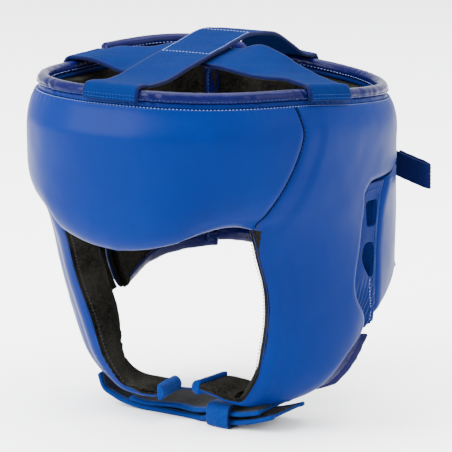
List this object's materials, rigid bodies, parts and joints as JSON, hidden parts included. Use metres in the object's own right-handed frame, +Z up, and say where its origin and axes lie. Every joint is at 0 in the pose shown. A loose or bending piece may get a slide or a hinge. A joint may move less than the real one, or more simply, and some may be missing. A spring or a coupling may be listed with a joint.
{
  "type": "boxing headgear",
  "caption": "Open-face padded boxing headgear with a brow pad, cheek pads with chin flaps, ear vents, crossed crown straps and a chin strap.",
  "frame": {"origin": "on the floor under the axis of the head, on the flat underside of the chin strap", "axes": "+Z up, -Y towards the face, +X towards the wearer's left"},
  "size_m": [0.2062, 0.247, 0.2332],
  "materials": {
    "leather": "smooth, satin",
    "binding": "glossy",
    "webbing": "matte",
    "suede": "napped"
  },
  "bodies": {
    "root": {"brow_pad": "leather", "brow_lining": "suede", "side_pad_left": "leather", "side_lining_left": "suede", "ear_panel_left": "leather", "side_pad_right": "leather", "side_lining_right": "suede", "ear_panel_right": "leather", "back_wing_outer": "leather", "back_wing_outer_lining": "suede", "back_wing_inner": "leather", "back_wing_inner_lining": "suede", "rim_skirt": "leather", "rim_binding": "binding", "crown_strap_long": "webbing", "crown_strap_cross": "webbing", "jaw_strip_left": "binding", "jaw_strip_right": "binding", "chin_tab_left": "webbing", "chin_tab_right": "webbing", "chin_strap_lower": "webbing", "chin_strap_upper": "webbing", "chin_keeper": "webbing", "pull_loop": "binding"}
  },
  "joints": []
}
